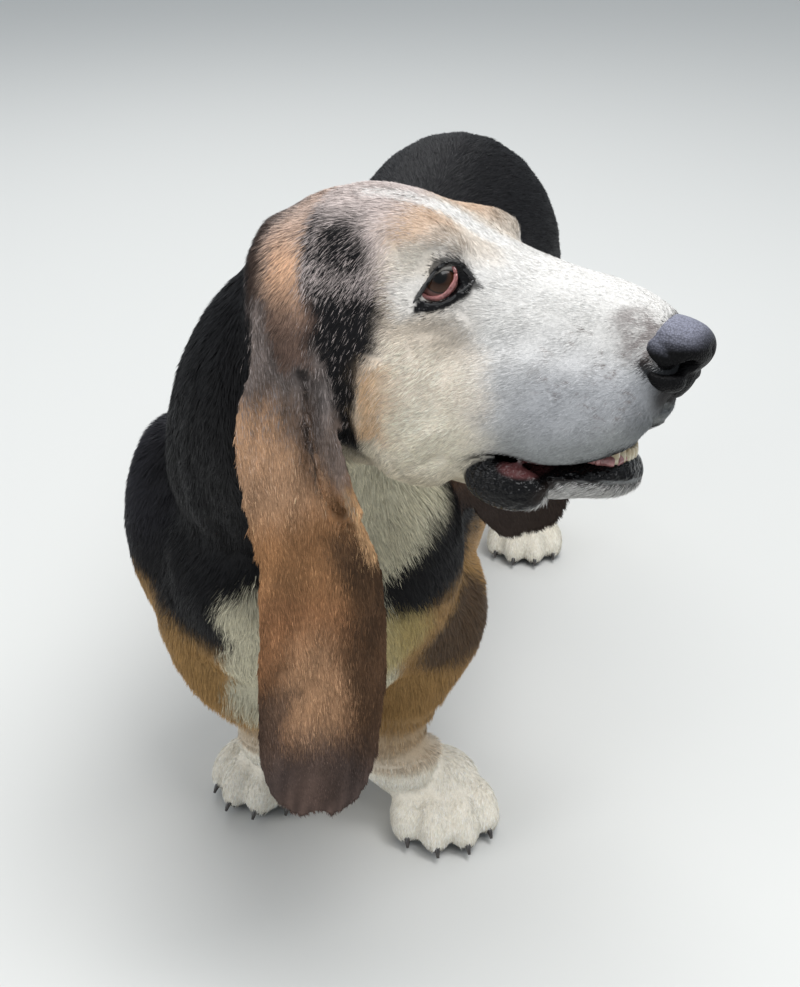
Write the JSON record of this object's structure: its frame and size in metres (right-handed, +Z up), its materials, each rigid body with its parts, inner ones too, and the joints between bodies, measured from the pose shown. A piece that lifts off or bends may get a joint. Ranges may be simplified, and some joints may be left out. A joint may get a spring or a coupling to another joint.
{
  "type": "basset hound",
  "caption": "Life-size still model of a basset hound, standing on four short legs, with its head turned to its left, long hanging ears and mouth a little open.",
  "frame": {"origin": "on the floor, under the middle of the model's bounding box", "axes": "+Z up, +Y from the dog's chest to its tail, +X to the dog's left, where its head looks"},
  "size_m": [0.3864, 0.8698, 0.5008],
  "materials": {
    "head": "short cream and white coat",
    "lower_jaw": "black lip and short pale coat, cream teeth",
    "tongue": "moist",
    "nose": "black, finely pebbled, slightly moist",
    "eye_left": "glossy",
    "eye_right": "glossy",
    "ear_left": "very short brown coat",
    "ear_right": "very short brown coat",
    "neck": "short black coat",
    "torso": "short black coat",
    "tail": "short black coat",
    "leg_front_left": "short tan coat",
    "leg_front_right": "short tan coat",
    "leg_hind_left": "short tan coat",
    "leg_hind_right": "short tan coat",
    "paw_front_left": "short white coat, black claws",
    "paw_front_right": "short white coat, black claws",
    "paw_hind_left": "short white coat, black claws",
    "paw_hind_right": "short white coat, black claws"
  },
  "bodies": {
    "root": {"head": "head", "lower_jaw": "lower_jaw", "tongue": "tongue", "nose": "nose", "eye_left": "eye_left", "eye_right": "eye_right", "ear_left": "ear_left", "ear_right": "ear_right", "neck": "neck", "torso": "torso", "tail": "tail", "leg_front_left": "leg_front_left", "leg_front_right": "leg_front_right", "leg_hind_left": "leg_hind_left", "leg_hind_right": "leg_hind_right", "paw_front_left": "paw_front_left", "paw_front_right": "paw_front_right", "paw_hind_left": "paw_hind_left", "paw_hind_right": "paw_hind_right"}
  },
  "joints": []
}
